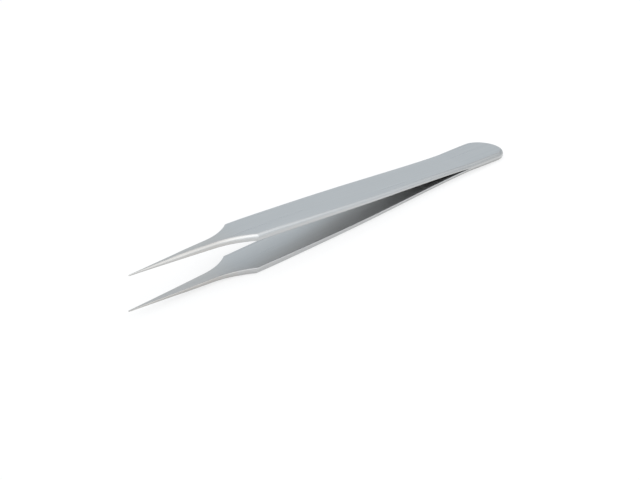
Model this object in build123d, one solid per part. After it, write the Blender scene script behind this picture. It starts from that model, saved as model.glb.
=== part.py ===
from build123d import *
from math import atan2, degrees
import os

# Straight precision tweezers of satin stainless steel: two forged arms, welded face to face at the butt.
# They lie as they come to rest on a table, on the heel of the butt and the belly of the lower arm.
# +X runs from the tips to the butt, Y across the arms and +Z up. All sizes are in millimetres.

# Plan of an arm, seen from above
length = 110.5              # tips to butt
butt_width = 9.2            # where the rounded end starts
butt_round = 4.2            # how far the rounded end reaches
waist_width = 8.74          # narrowest place behind the grip
waist_from_butt = 17.0
grip_width = 9.46           # widest place
shoulder_width = 8.66       # corners where the ground points start
shoulder_from_tip = 30.7
shoulder_from_butt = length - shoulder_from_tip
grip_from_butt = 0.576 * shoulder_from_butt
bow_from_butt = 0.877 * shoulder_from_butt      # between the grip and the shoulder, for the side only
shoulder_round = 1.0        # more than the edge rounding, which runs round the corner
taper_width = 3.04          # where the hollow of the shoulder runs into the straight taper
taper_length = 21.9
tip_width = 0.2

# Side of an arm, with the opening between the two arms at rest
weld_length = 13.9          # the arms touch from the butt to here
grip_opening = 2.9
bow_opening = 4.77
shoulder_opening = 5.4
taper_opening = 5.88
point_opening = 6.28
tip_opening = 6.74
butt_thickness = 0.8
grip_thickness = 0.92
bow_thickness = 1.2
shoulder_thickness = 1.25
taper_thickness = 1.0
point_thickness = 0.78
tip_thickness = 0.22
point_length = 12.5         # the last stretch, ground to a straight taper
bend_radius = 60.0          # outer face, where the arm leaves the weld

# Outer edges, rounded all the way round the arm and fading out along the point
edge_round = 0.7


def plan_outline():
    """Outline of an arm in plan, with the butt at x = 0 and the tip at x = -length."""
    tip = (-length, tip_width / 2)
    taper_end = (-length + taper_length, taper_width / 2)
    shoulder = (-shoulder_from_butt, shoulder_width / 2)
    grip = (-grip_from_butt, grip_width / 2)
    waist = (-waist_from_butt, waist_width / 2)
    butt = (-butt_round, butt_width / 2)
    taper = Line(tip, taper_end)
    hollow = TangentArc(taper_end, shoulder, tangent=taper % 1)
    side = Spline(shoulder, grip, waist, butt, tangents=[Vector(grip) - Vector(shoulder), (1, 0)])
    end = EllipticalCenterArc((-butt_round, 0), butt_round, butt_width / 2, start_angle=-90, arc_size=180)
    half = [taper, hollow, side]
    other_half = [mirror(edge, about=Plane.XZ) for edge in half]
    face = make_face(half + other_half + [end, Line((-length, -tip_width / 2), tip)])
    corners = face.vertices().filter_by_position(Axis.X, shoulder[0] - 0.1, shoulder[0] + 0.1)
    return fillet(corners, shoulder_round)


def side_stations():
    """Distance from the butt, half opening and thickness of an arm, from the weld to the tip."""
    return [
        (weld_length, 0, butt_thickness),
        (grip_from_butt, grip_opening / 2, grip_thickness),
        (bow_from_butt, bow_opening / 2, bow_thickness),
        (shoulder_from_butt, shoulder_opening / 2, shoulder_thickness),
        (length - taper_length, taper_opening / 2, taper_thickness),
        (length - point_length, point_opening / 2, point_thickness),
        (length, tip_opening / 2, tip_thickness),
    ]


def inner_points():
    return [(-s, gap) for s, gap, _ in side_stations()]


def outer_points():
    return [(-s, gap + thickness) for s, gap, thickness in side_stations()]


def long_curve(points):
    """A smooth bow from the weld to the point, then a straight line to the tip."""
    weld, grip, *_, point, tip = points
    straight = Line(point, tip)
    return Spline(*points[:-1], tangents=[Vector(grip) - Vector(weld), straight % 0]), straight


def side_outline():
    """Side profile of the upper arm: flat along the weld, then bowed and tapered."""
    inner, outer = inner_points(), outer_points()
    flats = [Line(inner[0], (0, 0)), Line((0, 0), (0, butt_thickness)), Line((0, butt_thickness), outer[0])]
    profile = make_face([*long_curve(inner), *long_curve(outer), *flats, Line(inner[-1], outer[-1])])
    bend = profile.vertices().sort_by_distance(outer[0])[0]
    return fillet(bend, bend_radius)


def blank():
    """The forged arm with its edges still sharp: the plan outline cut through the side profile."""
    plan = extrude(plan_outline(), amount=length)
    side = extrude(Plane.XZ.offset(-grip_width) * side_outline(), amount=2 * grip_width)
    return plan & side


def rim(solid):
    """Edges round the outer face, without those that only run across it."""
    outer = solid.faces().filter_by(lambda face: face.normal_at().Z > 0.5)
    return outer.edges().filter_by(Axis.Y, reverse=True)


def point(root):
    """The ground point: it runs straight from the arm's own section to the same section at the tip's size."""
    inner = (root.center().X, 0, point_opening / 2)
    shrink = (1, tip_width / root.bounding_box().size.Y, tip_thickness / point_thickness)
    tip = Pos(-point_length, 0, (tip_opening - point_opening) / 2) * scale(root, by=shrink, about=inner)
    return loft([root, tip], ruled=True)


def arm():
    """The upper arm, before it is laid down: its inner face is level along the weld, at z = 0."""
    body = split(blank(), bisect_by=Plane.YZ.offset(-length + point_length), keep=Keep.TOP)
    body = body.fillet(edge_round, rim(body))
    return body + point(body.faces().sort_by(Axis.X)[0])


def rest_tilt():
    """Angle that brings the belly of the lower arm down to the level of its heel."""
    outer, _ = long_curve(outer_points())
    samples = [outer @ (i / 100) for i in range(101)]
    return max(degrees(atan2(p.Y - butt_thickness, -edge_round - p.X)) for p in samples)


def laid_down(upper, lower):
    """Both arms at rest on z = 0, with the origin under the middle of the tweezers."""
    tilt = Rot(0, rest_tilt(), 0)
    box = Compound([tilt * upper, tilt * lower]).bounding_box()
    place = Pos(-box.center().X, -box.center().Y, -box.min.Z) * tilt
    return {"upper_arm": place * upper, "lower_arm": place * lower}


upper = arm()
parts = laid_down(upper, mirror(upper, about=Plane.XY))
os.makedirs("parts", exist_ok=True)
for name, shape in parts.items():
    export_step(shape, f"parts/{name}.step")
print("rest tilt", round(rest_tilt(), 3), "degrees")
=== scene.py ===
"""Straight precision tweezers of satin stainless steel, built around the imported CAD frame."""

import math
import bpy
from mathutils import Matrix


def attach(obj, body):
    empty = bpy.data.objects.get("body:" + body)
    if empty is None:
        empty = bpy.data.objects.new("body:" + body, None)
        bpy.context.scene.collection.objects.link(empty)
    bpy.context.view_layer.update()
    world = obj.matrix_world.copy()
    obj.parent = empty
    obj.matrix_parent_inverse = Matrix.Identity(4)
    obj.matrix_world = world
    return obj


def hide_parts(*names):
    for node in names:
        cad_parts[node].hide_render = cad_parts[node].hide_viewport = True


bl_info = {
    "name": "Straight Tweezers",
    "version": (1, 0, 0),
    "blender": (4, 5, 0),
    "location": "3D View > Sidebar > Tweezers",
    "description": "Builds two forged tweezer arms with ground points, their steel and a studio stage",
    "category": "Add Mesh",
}

import bmesh
import bpy
import numpy as np
from bpy.props import FloatProperty, FloatVectorProperty, PointerProperty
from mathutils import Matrix, Vector

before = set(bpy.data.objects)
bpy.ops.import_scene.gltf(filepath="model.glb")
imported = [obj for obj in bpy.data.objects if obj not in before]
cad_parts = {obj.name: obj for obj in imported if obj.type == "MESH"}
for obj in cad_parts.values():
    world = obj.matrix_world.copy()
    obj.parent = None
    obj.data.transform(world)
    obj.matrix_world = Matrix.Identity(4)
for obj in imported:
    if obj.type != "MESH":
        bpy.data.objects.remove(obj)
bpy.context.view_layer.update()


def length_of(name, description, default):
    return FloatProperty(name=name, description=description, default=default, min=0.0, unit="LENGTH")


def share_of(name, description, default):
    return FloatProperty(name=name, description=description, default=default, min=0.0, max=1.0,
                         subtype="FACTOR")


def angle_of(name, description, degrees):
    return FloatProperty(name=name, description=description, default=math.radians(degrees), subtype="ANGLE")


def colour_of(name, description, default):
    return FloatVectorProperty(name=name, description=description, default=default, size=3,
                               min=0.0, max=1.0, subtype="COLOR")


def place_of(name, description, default):
    return FloatVectorProperty(name=name, description=description, default=default, size=len(default),
                               subtype="XYZ_LENGTH", unit="LENGTH")


class TweezerSizes(bpy.types.PropertyGroup):
    """Plan and side of an arm, in metres, as the CAD part has them."""

    length: length_of("Length", "From the tips to the butt", 0.1105)
    butt_width: length_of("Butt width", "Where the rounded end starts", 0.0092)
    butt_round: length_of("Butt round", "How far the rounded end reaches", 0.0042)
    waist_width: length_of("Waist width", "Narrowest place behind the grip", 0.00874)
    waist_from_butt: length_of("Waist from butt", "Place of the waist", 0.017)
    grip_width: length_of("Grip width", "Widest place", 0.00946)
    grip_share: share_of("Grip place", "Share of the way from the butt to the shoulder", 0.576)
    bow_share: share_of("Bow place", "Share of the way from the butt to the shoulder", 0.877)
    shoulder_width: length_of("Shoulder width", "Corners where the ground points start", 0.00866)
    shoulder_from_tip: length_of("Shoulder from tip", "Place of the shoulder", 0.0307)
    taper_width: length_of("Taper width", "Where the hollow runs into the straight taper", 0.00304)
    taper_length: length_of("Taper length", "Straight taper in plan", 0.0219)
    tip_width: length_of("Tip width", "Width of a tip", 0.0002)
    weld_length: length_of("Weld length", "Where the arms touch, from the butt", 0.0139)
    grip_opening: length_of("Grip opening", "Between the arms at the grip", 0.0029)
    bow_opening: length_of("Bow opening", "Between the arms at the bow", 0.00477)
    shoulder_opening: length_of("Shoulder opening", "Between the arms at the shoulder", 0.0054)
    taper_opening: length_of("Taper opening", "Between the arms where the taper starts", 0.00588)
    point_opening: length_of("Point opening", "Between the arms where the points start", 0.00628)
    tip_opening: length_of("Tip opening", "Between the tips at rest", 0.00674)
    butt_thickness: length_of("Butt thickness", "Of one arm", 0.0008)
    grip_thickness: length_of("Grip thickness", "Of one arm", 0.00092)
    bow_thickness: length_of("Bow thickness", "Of one arm", 0.0012)
    shoulder_thickness: length_of("Shoulder thickness", "Of one arm", 0.00125)
    taper_thickness: length_of("Taper thickness", "Of one arm", 0.001)
    point_thickness: length_of("Point thickness", "Of one arm", 0.00078)
    tip_thickness: length_of("Tip thickness", "Of one arm", 0.00022)
    point_length: length_of("Point length", "The last stretch, ground to a straight taper", 0.0125)
    edge_round: length_of("Edge round", "Rounding all the way round the outer face", 0.0007)
    edge_break: length_of("Edge break", "Small rounding of the inner edges, clear of the weld", 0.0001)


class TweezerFinish(bpy.types.PropertyGroup):
    """Colour and surface of the steel."""

    steel: colour_of("Steel", "Colour of the satin steel", (0.515, 0.517, 0.514))
    point_steel: colour_of("Point steel", "Colour of the ground points", (0.505, 0.49, 0.47))
    # Painted shade: a darker steel on the rounded edges near the butt, in place of the shaded floor they
    # mirror
    edge_painted_shade: colour_of("Edge steel", "Colour of the rounded edges near the butt", (0.43, 0.43, 0.425))
    roughness: share_of("Roughness", "Of the satin faces", 0.3)
    edge_roughness: share_of("Edge roughness", "Of the rounded edges, ground across", 0.37)
    inner_roughness: share_of("Inner roughness", "Of the inner faces near the weld, left as forged", 0.42)
    grain_depth: length_of("Grain depth", "Height of the brushed lines", 0.0000008)


class TweezerStage(bpy.types.PropertyGroup):
    """Floor, light and camera."""

    floor: colour_of("Floor", "Colour of the floor", (0.82, 0.82, 0.82))
    floor_glow: share_of("Floor glow", "How much of the floor's shade the camera sees as plain white", 0.75)
    mirror_glow: share_of("Mirror glow", "How much of the floor's shade the steel shows as plain white", 0.3)
    softbox_size: place_of("Softbox size", "Sides of the lamp overhead", (0.5, 0.7))
    softbox_place: place_of("Softbox place", "Middle of the lamp overhead", (0.11, -0.15, 0.3))
    softbox_turn: angle_of("Softbox turn", "Of the lamp round its middle", 17)
    softbox_power: FloatProperty(name="Softbox power", description="Power of the lamp overhead",
                                 default=0.83, min=0.0, unit="POWER")
    front_light: FloatProperty(name="Front light", description="How much brighter the room is in front",
                               default=0.6, min=0.0)
    camera_azimuth: angle_of("Camera azimuth", "Round the tweezers from the front", -50.26)
    camera_elevation: angle_of("Camera elevation", "Above the floor", 22.95)
    camera_distance: length_of("Camera distance", "From the middle of the tweezers", 0.551)


def spline(places, values, start_slope, end_slope):
    """A cubic spline through the values, with its slopes given at both ends."""
    places, values = np.array(places), np.array(values)
    step = np.diff(places)
    rise = np.diff(values) / step
    count = len(places)
    matrix, right = np.zeros((count, count)), np.zeros(count)
    matrix[0, 0] = matrix[-1, -1] = 1
    right[0], right[-1] = start_slope, end_slope
    for i in range(1, count - 1):
        matrix[i, i - 1:i + 2] = step[i], 2 * (step[i - 1] + step[i]), step[i - 1]
        right[i] = 3 * (step[i] * rise[i - 1] + step[i - 1] * rise[i])
    slopes = np.linalg.solve(matrix, right)

    def value(at):
        i = int(np.clip(np.searchsorted(places, at) - 1, 0, count - 2))
        h, t = step[i], (at - places[i]) / step[i]
        return float(values[i] * (1 + 2 * t) * (1 - t) ** 2 + slopes[i] * h * t * (1 - t) ** 2
                     + values[i + 1] * t * t * (3 - 2 * t) + slopes[i + 1] * h * t * t * (t - 1))

    return value


class Arm:
    """Width, height and rounding of an arm at any distance from the butt."""

    def __init__(self, size):
        self.size = size
        self.shoulder = size.length - size.shoulder_from_tip
        self.taper = size.length - size.taper_length
        self.point = size.length - size.point_length
        grip, bow = size.grip_share * self.shoulder, size.bow_share * self.shoulder
        self.places = [size.weld_length, grip, bow, self.shoulder, self.taper, self.point]
        openings = [0, size.grip_opening, size.bow_opening, size.shoulder_opening, size.taper_opening,
                    size.point_opening]
        thicks = [size.butt_thickness, size.grip_thickness, size.bow_thickness, size.shoulder_thickness,
                  size.taper_thickness, size.point_thickness]
        inner = [opening / 2 for opening in openings]
        outer = [gap + thick for gap, thick in zip(inner, thicks)]
        self.inner_ends = inner[-1], size.tip_opening / 2
        self.outer_ends = outer[-1], size.tip_opening / 2 + size.tip_thickness
        self.inner_bow = self.bowed(inner, self.inner_ends)
        self.outer_bow = self.bowed(outer, self.outer_ends)
        side = [size.butt_width / 2, size.waist_width / 2, size.grip_width / 2, size.shoulder_width / 2]
        self.side = spline([size.butt_round, size.waist_from_butt, grip, self.shoulder], side, 0,
                           (side[3] - side[2]) / (self.shoulder - grip))
        self.taper_slope = (size.taper_width - size.tip_width) / 2 / size.taper_length
        self.hollow_centre, self.hollow_radius = self.hollow()

    def bowed(self, heights, ends):
        """The long bow from the weld to the point."""
        start = (heights[1] - heights[0]) / (self.places[1] - self.places[0])
        end = (ends[1] - ends[0]) / self.size.point_length
        return spline(self.places, heights, start, end)

    def hollow(self):
        """Circle of the ground hollow: tangent to the taper and through the shoulder's corner."""
        start = Vector((self.taper, self.size.taper_width / 2))
        chord = Vector((self.shoulder, self.size.shoulder_width / 2)) - start
        across = Vector((self.taper_slope, 1)).normalized()
        radius = chord.length_squared / (2 * chord.dot(across))
        return start + across * radius, radius

    def height(self, bow, ends, base, at):
        if at <= self.size.weld_length:
            return base
        if at >= self.point:
            return ends[0] + (ends[1] - ends[0]) * (at - self.point) / self.size.point_length
        return bow(at)

    def inner(self, at):
        return self.height(self.inner_bow, self.inner_ends, 0.0, at)

    def outer(self, at):
        return self.height(self.outer_bow, self.outer_ends, self.size.butt_thickness, at)

    def half_width(self, at):
        """Half the width in plan, without the round end."""
        if at >= self.taper:
            return self.size.tip_width / 2 + (self.size.length - at) * self.taper_slope
        if at <= self.shoulder:
            return self.side(max(at, self.size.butt_round))
        centre, radius = self.hollow_centre, self.hollow_radius
        return centre.y - math.sqrt(radius ** 2 - (at - centre.x) ** 2)

    def tilt(self):
        """Angle that brings the belly of the lower arm down to the level of its heel."""
        base, heel = self.size.butt_thickness, self.size.edge_round
        places = np.linspace(self.size.weld_length, self.point, 400)
        return max(math.atan2(self.outer(at) - base, at - heel) for at in places)


# Half section of the plain arm, across and up, with a point close to each rounding
SECTION = ((0, 0), (0.45, 0), (0.88, 0), (1, 0), (1, 0.4), (1, 1), (0.66, 1), (0.35, 1), (0, 1))
INNER_EDGE, OUTER_EDGE = 3, 5    # corners of the section that are rounded
BREAK = 0.1              # share of the section that becomes the small rounding of the inner edge
CORNER = 0.3             # share of it that becomes the rounded outer edge
BREAK_STEPS = 3
ROUND_STEPS = 9
END_STEPS = 40
BREAK_GROWS = 0.003      # metres from the weld over which the inner rounding grows
LEAST_BREAK = 0.03       # share of it that is left along the weld, where the arms touch
FORGED_TO = 0.85         # share of the way to the shoulder where the forged finish has gone
FORGED_FADE = 0.32       # share of the way over which it goes
PAINTED_SHADE_FROM = 0.038        # metres from the butt where the painted shade on the rounded edges starts
PAINTED_SHADE_OVER = 0.026        # metres over which the painted shade grows to full, towards the butt
BREAK_MOST = 0.3         # most of the half width or the thickness that the inner rounding takes
ROUND_MOST_UP = 0.9      # most of the thickness that the outer rounding takes
ROUND_MOST_ACROSS = 0.77     # most of the half width that it takes
TIP_END = 0.5            # size of the end face of a tip, next to the section before it
BODY_STEPS, CORNER_STEPS, HOLLOW_STEPS, POINT_STEPS = 90, 9, 28, 40
NEAR_CORNER = 0.0006     # metres on each side of the shoulder's corner with closer sections
TONE_SPREAD = 0.04       # how much lighter or darker the streaks are
ROUGH_SPREAD = 0.03      # how much rougher or smoother they are
LINES = ((120, 14000, 1), 3.0)       # scale along, around and through, and detail, of the fine lines
STREAKS = ((25, 1800, 1), 2.0)       # the same of the broader streaks
INNER_GRAIN = 0.02       # puts the inner face's grain well away from the outer face's
SMOOTH_BELOW = math.radians(35)
FRONT = (-0.142, -0.807, 0.574)      # direction of the broad light, from the tweezers
SKY = ((0.0, (1.0, 1.0, 1.0)), (0.12, (0.77, 0.83, 0.88)),     # colours by height, from the horizon up
       (0.39, (0.72, 0.79, 0.85)), (0.8, (0.86, 0.88, 0.9)))
LENS = 159.3             # millimetres, on a 36 mm sensor
AIM = (-0.000794, -0.00205)          # the camera's shift to the right and up, in metres


def stations(arm):
    """Distances from the butt where the arm has a section, closer at the shoulder and the tip."""
    size = arm.size
    corner_from, corner_to = arm.shoulder - NEAR_CORNER, arm.shoulder + NEAR_CORNER
    body = np.linspace(size.butt_round, corner_from, BODY_STEPS)
    corner = np.linspace(corner_from, corner_to, CORNER_STEPS)
    hollow = np.linspace(corner_to, arm.taper, HOLLOW_STEPS)
    points = np.linspace(arm.taper, size.length - size.tip_width / 3, POINT_STEPS)
    return np.concatenate([body, corner[1:], hollow[1:], points[1:], [size.length]])


def plain_arm(places):
    """Unit half section, spun round the butt and drawn out to the tip on both sides."""
    bm = bmesh.new()
    hinge = -places[0]
    section = [bm.verts.new((hinge, y, z)) for y, z in SECTION]
    for pair in zip(section, section[1:]):
        bm.edges.new(pair)
    for corner, offset, steps in ((INNER_EDGE, BREAK, BREAK_STEPS), (OUTER_EDGE, CORNER, ROUND_STEPS)):
        bmesh.ops.bevel(bm, geom=[section[corner]], offset=offset, segments=steps, profile=0.5,
                        affect="VERTICES", material=-1)
    bmesh.ops.spin(bm, geom=list(bm.verts) + list(bm.edges), cent=(hinge, 0, 0), axis=(0, 0, 1),
                   angle=-math.pi, steps=END_STEPS, use_merge=False, use_duplicate=False)
    ends = [e for e in bm.edges if len(e.link_faces) < 2 and all(abs(v.co.x - hinge) < 1e-6 for v in e.verts)]
    edges = [e for e in ends if max(abs(v.co.y) for v in e.verts) > 1e-6]
    for step in np.diff(places):
        grown = bmesh.ops.extrude_edge_only(bm, edges=edges)["geom"]
        edges = [g for g in grown if isinstance(g, bmesh.types.BMEdge)]
        moved = [g for g in grown if isinstance(g, bmesh.types.BMVert)]
        bmesh.ops.translate(bm, verts=moved, vec=(-step, 0, 0))
    bmesh.ops.remove_doubles(bm, verts=bm.verts, dist=1e-6)
    bmesh.ops.edgeloop_fill(bm, edges=[e for e in bm.edges if e.is_boundary])
    return bm


def stretched(share, whole, low, high):
    """A place in the plain section, 0 to 1, in the real one: its rounded ends keep their own size."""
    if share < BREAK:
        return share / BREAK * low
    if share > 1 - CORNER:
        return whole - (1 - share) / CORNER * high
    return low + (share - BREAK) / (1 - CORNER - BREAK) * (whole - low - high)


def clamped(share):
    return min(max(share, 0.0), 1.0)


def rough_share(share):
    """How much of the forged roughness an inner face keeps: all near the weld, none at the shoulder."""
    t = clamped((FORGED_TO - share) / FORGED_FADE)
    return t * t * (3 - 2 * t)


def shape_arm(bm, arm):
    """Moves the plain arm's points to the forged and ground form, and writes where the grain runs."""
    size = arm.size
    names = ("girth", "rounded", "inside", "ground", "butt_painted_shade")
    girth, rounded, inside, ground, butt_painted_shade = [bm.verts.layers.float.new(name) for name in names]
    for vert in bm.verts:
        x, y, z = vert.co
        at = max(-x, size.butt_round)
        out = Vector((x + at, y))
        reach = min(out.length, 1.0)
        away = out.normalized() if reach > 1e-6 else Vector((0, 1))
        thick = arm.outer(at) - arm.inner(at)
        spoke = 1 / math.hypot(away.x / size.butt_round, away.y / arm.half_width(at))
        free = min(max((at - size.weld_length) / BREAK_GROWS, LEAST_BREAK), 1)
        small = min(size.edge_break, BREAK_MOST * spoke, BREAK_MOST * thick) * free
        lift = stretched(z, thick, small, min(size.edge_round, ROUND_MOST_UP * thick))
        if z > 0.5:
            offset = stretched(reach, spoke, BREAK * spoke, min(size.edge_round, ROUND_MOST_ACROSS * spoke))
        else:
            offset = spoke - stretched(1 - reach, spoke, small, CORNER * spoke)
        if at > size.length - 1e-7:
            offset, lift = TIP_END * offset, thick / 2 + TIP_END * (lift - thick / 2)
        vert.co = (-at + away.x * offset, away.y * offset, arm.inner(at) + lift)
        across = away.y * offset
        vert[girth] = across + math.copysign(thick - lift, y) if z > BREAK / 2 else across + INNER_GRAIN
        vert[rounded] = float(reach > 1 - CORNER + 1e-4 and z > 1 - CORNER + 1e-4)
        # Painted shade: the rounded edges get a darker colour near the butt, fading out further along, in
        # place of the shaded floor they mirror
        vert[butt_painted_shade] = vert[rounded] * clamped((PAINTED_SHADE_FROM - at) / PAINTED_SHADE_OVER)
        vert[ground] = clamped((at - arm.shoulder) / (arm.taper - arm.shoulder))
        vert[inside] = rough_share(at / arm.shoulder) if z < BREAK / 2 else 0.0


def finished_piece(name, bm, material):
    """Puts the shape in an object at the origin, smooth but for its sharp edges."""
    bmesh.ops.recalc_face_normals(bm, faces=bm.faces)
    mesh = bpy.data.meshes.new(name)
    bm.to_mesh(mesh)
    bm.free()
    mesh.shade_smooth()
    mesh.set_sharp_from_angle(angle=SMOOTH_BELOW)
    mesh.materials.append(material)
    piece = bpy.data.objects.new(name, mesh)
    bpy.context.scene.collection.objects.link(piece)
    return piece


def node(tree, kind, place=(0, 0), **values):
    made = tree.nodes.new(kind)
    made.location = place
    for key, value in values.items():
        if key in made.inputs:
            made.inputs[key].default_value = value
        else:
            setattr(made, key, value)
    return made


def grain_group():
    """Fine lines along the arm and broader streaks among them."""
    group = bpy.data.node_groups.new("Brushed Grain", "ShaderNodeTree")
    face = group.interface
    face.new_socket("Along", in_out="INPUT", socket_type="NodeSocketFloat")
    face.new_socket("Around", in_out="INPUT", socket_type="NodeSocketFloat")
    face.new_socket("Fineness", in_out="INPUT", socket_type="NodeSocketFloat").default_value = 1.0
    face.new_socket("Lines", in_out="OUTPUT", socket_type="NodeSocketFloat")
    face.new_socket("Streaks", in_out="OUTPUT", socket_type="NodeSocketFloat")
    start = node(group, "NodeGroupInput", (-900, 0))
    end = node(group, "NodeGroupOutput", (500, 0))
    place = node(group, "ShaderNodeCombineXYZ", (-700, 0))
    group.links.new(start.outputs["Along"], place.inputs["X"])
    group.links.new(start.outputs["Around"], place.inputs["Y"])
    scaled = node(group, "ShaderNodeVectorMath", (-500, 0), operation="SCALE")
    group.links.new(place.outputs[0], scaled.inputs[0])
    group.links.new(start.outputs["Fineness"], scaled.inputs["Scale"])
    for output, (scale, detail) in (("Lines", LINES), ("Streaks", STREAKS)):
        mapping = node(group, "ShaderNodeMapping", (-300, 0), Scale=scale)
        noise = node(group, "ShaderNodeTexNoise", (-50, 0), Scale=1.0, Detail=detail, Roughness=0.6)
        group.links.new(scaled.outputs[0], mapping.inputs["Vector"])
        group.links.new(mapping.outputs[0], noise.inputs["Vector"])
        group.links.new(noise.outputs["Fac"], end.inputs[output])
    return group


def mixed(tree, place, first, colour, mask):
    """Goes from a colour or a node's colour to another colour by the piece's own mask."""
    share = node(tree, "ShaderNodeAttribute", (place[0] - 300, place[1]), attribute_name=mask)
    mix = node(tree, "ShaderNodeMix", place, data_type="RGBA")
    if isinstance(first, bpy.types.NodeSocket):
        tree.links.new(first, mix.inputs["A"])
    else:
        mix.inputs["A"].default_value = (*first, 1)
    mix.inputs["B"].default_value = (*colour, 1)
    tree.links.new(share.outputs["Fac"], mix.inputs["Factor"])
    return mix.outputs["Result"]


def spread(tree, place, value, low, high):
    """Stretches a noise, which keeps near its middle, from low to high."""
    made = node(tree, "ShaderNodeMapRange", place)
    for name, bound in (("From Min", 0.3), ("From Max", 0.7), ("To Min", low), ("To Max", high)):
        made.inputs[name].default_value = bound
    tree.links.new(value, made.inputs["Value"])
    return made.outputs["Result"]


def steel_material(finish):
    """Satin steel brushed along the arm: rougher inside, warmer on the points, with painted shade on the
    rounded edges near the butt.
    """
    material = bpy.data.materials.new("satin_steel")
    material.use_nodes = True
    tree = material.node_tree
    shader = tree.nodes["Principled BSDF"]
    shader.inputs["Metallic"].default_value = 1.0
    place = node(tree, "ShaderNodeTexCoord", (-1500, 0))
    parts = node(tree, "ShaderNodeSeparateXYZ", (-1300, 0))
    girth = node(tree, "ShaderNodeAttribute", (-1300, -200), attribute_name="girth")
    grain = node(tree, "ShaderNodeGroup", (-1050, 0), node_tree=grain_group())
    tree.links.new(place.outputs["Object"], parts.inputs[0])
    tree.links.new(parts.outputs["X"], grain.inputs["Along"])
    tree.links.new(girth.outputs["Fac"], grain.inputs["Around"])
    tone = spread(tree, (-700, 200), grain.outputs["Streaks"], 1 - TONE_SPREAD, 1 + TONE_SPREAD)
    steel = mixed(tree, (-800, 400), finish.steel, finish.point_steel, "ground")
    # Painted shade: the rounded edges near the butt turn to the darker edge colour
    steel = mixed(tree, (-600, 600), steel, finish.edge_painted_shade, "butt_painted_shade")
    colour = node(tree, "ShaderNodeVectorMath", (-450, 200), operation="SCALE")
    tree.links.new(steel, colour.inputs[0])
    tree.links.new(tone, colour.inputs["Scale"])
    tree.links.new(colour.outputs[0], shader.inputs["Base Color"])
    rough = spread(tree, (-700, -100), grain.outputs["Streaks"],
                   finish.roughness - ROUGH_SPREAD, finish.roughness + ROUGH_SPREAD)
    for name, value in (("inside", finish.inner_roughness), ("rounded", finish.edge_roughness)):
        mask = node(tree, "ShaderNodeAttribute", (-700, -400), attribute_name=name)
        added = node(tree, "ShaderNodeMath", (-450, -100), operation="MULTIPLY_ADD")
        added.inputs[1].default_value = value - finish.roughness
        tree.links.new(mask.outputs["Fac"], added.inputs[0])
        tree.links.new(rough, added.inputs[2])
        rough = added.outputs[0]
    tree.links.new(rough, shader.inputs["Roughness"])
    bump = node(tree, "ShaderNodeBump", (-450, -300), Strength=1.0, Distance=finish.grain_depth)
    tree.links.new(grain.outputs["Lines"], bump.inputs["Height"])
    tree.links.new(bump.outputs["Normal"], shader.inputs["Normal"])
    return material


class TWEEZERS_OT_arms(bpy.types.Operator):
    """Build both arms in their resting place"""

    bl_idname = "tweezers.arms"
    bl_label = "Arms"
    bl_options = {"REGISTER", "UNDO"}

    def execute(self, context):
        scene = context.scene
        arm = Arm(scene.tweezer_sizes)
        steel = steel_material(scene.tweezer_finish)
        pieces = []
        for name, mirrored in (("upper_arm_steel", False), ("lower_arm_steel", True)):
            bm = plain_arm(stations(arm))
            shape_arm(bm, arm)
            if mirrored:
                bmesh.ops.scale(bm, verts=bm.verts, vec=(1, 1, -1))
            bmesh.ops.rotate(bm, verts=bm.verts, cent=(0, 0, 0), matrix=Matrix.Rotation(arm.tilt(), 3, "Y"))
            pieces.append(finished_piece(name, bm, steel))
        points = np.array([v.co for piece in pieces for v in piece.data.vertices])
        low, high = points.min(axis=0), points.max(axis=0)
        middle = Matrix.Translation((-(low[0] + high[0]) / 2, 0, -low[2]))
        for piece, node_name in zip(pieces, ("upper_arm", "lower_arm")):
            piece.data.transform(middle)
            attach(piece, "root")
            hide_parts(node_name)
        return {"FINISHED"}


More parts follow.
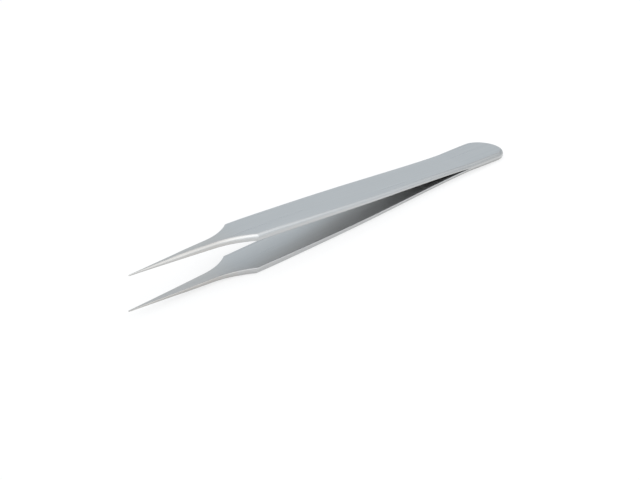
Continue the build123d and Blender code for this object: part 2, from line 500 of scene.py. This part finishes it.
class TWEEZERS_OT_stage(bpy.types.Operator):
    """Build the floor, the light and the camera"""

    bl_idname = "tweezers.stage"
    bl_label = "Stage"
    bl_options = {"REGISTER", "UNDO"}

    def execute(self, context):
        stage = context.scene.tweezer_stage
        self.add_floor(context, stage)
        self.add_world(context, stage)
        self.add_softbox(context, stage)
        self.add_camera(context, stage)
        context.scene.view_settings.view_transform = "Standard"
        return {"FINISHED"}

    def add_floor(self, context, stage):
        bm = bmesh.new()
        bmesh.ops.create_grid(bm, x_segments=1, y_segments=1, size=4.0)
        mesh = bpy.data.meshes.new("floor")
        bm.to_mesh(mesh)
        bm.free()
        paper = bpy.data.materials.new("floor_paper")
        paper.use_nodes = True
        shader = paper.node_tree.nodes["Principled BSDF"]
        shader.inputs["Base Color"].default_value = (*stage.floor, 1)
        shader.inputs["Roughness"].default_value = 0.9
        shader.inputs["Specular IOR Level"].default_value = 0.0
        tree = paper.node_tree
        path = node(tree, "ShaderNodeLightPath", (-900, 300))
        mirrored = node(tree, "ShaderNodeMath", (-700, 200), operation="MAXIMUM")
        tree.links.new(path.outputs["Is Glossy Ray"], mirrored.inputs[0])
        tree.links.new(path.outputs["Is Transmission Ray"], mirrored.inputs[1])
        in_steel = node(tree, "ShaderNodeMath", (-500, 200), operation="MULTIPLY")
        in_steel.inputs[1].default_value = stage.mirror_glow
        tree.links.new(mirrored.outputs[0], in_steel.inputs[0])
        share = node(tree, "ShaderNodeMath", (-300, 300), operation="MULTIPLY_ADD")
        share.inputs[1].default_value = stage.floor_glow
        tree.links.new(path.outputs["Is Camera Ray"], share.inputs[0])
        tree.links.new(in_steel.outputs[0], share.inputs[2])
        glow = node(tree, "ShaderNodeEmission", (-100, 100), Strength=1.0)
        mix = node(tree, "ShaderNodeMixShader", (300, 300))
        tree.links.new(share.outputs[0], mix.inputs[0])
        tree.links.new(shader.outputs[0], mix.inputs[1])
        tree.links.new(glow.outputs[0], mix.inputs[2])
        tree.links.new(mix.outputs[0], tree.nodes["Material Output"].inputs["Surface"])
        mesh.materials.append(paper)
        floor = bpy.data.objects.new("floor", mesh)
        context.scene.collection.objects.link(floor)

    def add_world(self, context, stage):
        """White at the horizon, a cool pale grey above it, and a broad soft light in front."""
        world = bpy.data.worlds.new("studio")
        context.scene.world = world
        world.use_nodes = True
        tree = world.node_tree
        place = node(tree, "ShaderNodeTexCoord", (-900, 0))
        parts = node(tree, "ShaderNodeSeparateXYZ", (-700, 0))
        ramp = node(tree, "ShaderNodeValToRGB", (-500, 0))
        tree.links.new(place.outputs["Generated"], parts.inputs[0])
        tree.links.new(parts.outputs["Z"], ramp.inputs["Fac"])
        spots = ramp.color_ramp.elements
        while len(spots) < len(SKY):
            spots.new(0.5)
        for spot, (height, colour) in zip(spots, SKY):
            spot.position, spot.color = height, (*colour, 1)
        facing = node(tree, "ShaderNodeVectorMath", (-700, -300), operation="DOT_PRODUCT")
        facing.inputs[1].default_value = FRONT
        tree.links.new(place.outputs["Generated"], facing.inputs[0])
        lobe = node(tree, "ShaderNodeMapRange", (-500, -300), interpolation_type="SMOOTHSTEP")
        lobe.inputs["From Min"].default_value, lobe.inputs["From Max"].default_value = 0.4, 1.0
        lobe.inputs["To Max"].default_value = stage.front_light
        tree.links.new(facing.outputs["Value"], lobe.inputs["Value"])
        total = node(tree, "ShaderNodeVectorMath", (-200, 0), operation="ADD")
        tree.links.new(ramp.outputs["Color"], total.inputs[0])
        tree.links.new(lobe.outputs["Result"], total.inputs[1])
        tree.links.new(total.outputs[0], tree.nodes["Background"].inputs["Color"])

    def add_softbox(self, context, stage):
        lamp = bpy.data.lights.new("softbox", "AREA")
        lamp.shape = "RECTANGLE"
        lamp.size, lamp.size_y = stage.softbox_size
        lamp.energy = stage.softbox_power
        softbox = bpy.data.objects.new("softbox", lamp)
        softbox.location = stage.softbox_place
        softbox.rotation_euler.z = stage.softbox_turn
        context.scene.collection.objects.link(softbox)

    def add_camera(self, context, stage):
        turn, rise = stage.camera_azimuth, stage.camera_elevation
        back = Vector((math.sin(turn) * math.cos(rise), -math.cos(turn) * math.cos(rise), math.sin(rise)))
        right = Vector((math.cos(turn), math.sin(turn), 0))
        up = back.cross(right)
        lens = bpy.data.cameras.new("camera")
        lens.lens, lens.sensor_width = LENS, 36.0
        lens.clip_start, lens.clip_end = 0.01, 20.0
        camera = bpy.data.objects.new("camera", lens)
        camera.matrix_world = Matrix((right, up, back)).transposed().to_4x4()
        camera.location = back * stage.camera_distance + right * AIM[0] + up * AIM[1]
        context.scene.collection.objects.link(camera)
        context.scene.camera = camera


class TWEEZERS_PT_panel(bpy.types.Panel):
    """Tweezers in the sidebar"""

    bl_idname = "TWEEZERS_PT_panel"
    bl_label = "Straight Tweezers"
    bl_space_type = "VIEW_3D"
    bl_region_type = "UI"
    bl_category = "Tweezers"

    def draw(self, context):
        for operator in (TWEEZERS_OT_arms, TWEEZERS_OT_stage):
            self.layout.operator(operator.bl_idname)
        for group in (context.scene.tweezer_sizes, context.scene.tweezer_finish, context.scene.tweezer_stage):
            box = self.layout.box()
            for name in group.__annotations__:
                box.prop(group, name)


CLASSES = (TweezerSizes, TweezerFinish, TweezerStage, TWEEZERS_OT_arms, TWEEZERS_OT_stage, TWEEZERS_PT_panel)


def register():
    for item in CLASSES:
        bpy.utils.register_class(item)
    bpy.types.Scene.tweezer_sizes = PointerProperty(type=TweezerSizes)
    bpy.types.Scene.tweezer_finish = PointerProperty(type=TweezerFinish)
    bpy.types.Scene.tweezer_stage = PointerProperty(type=TweezerStage)


def unregister():
    del bpy.types.Scene.tweezer_stage, bpy.types.Scene.tweezer_finish, bpy.types.Scene.tweezer_sizes
    for item in reversed(CLASSES):
        bpy.utils.unregister_class(item)


def main():
    register()
    bpy.ops.tweezers.arms()
    bpy.ops.tweezers.stage()


if __name__ == "__main__":
    main()
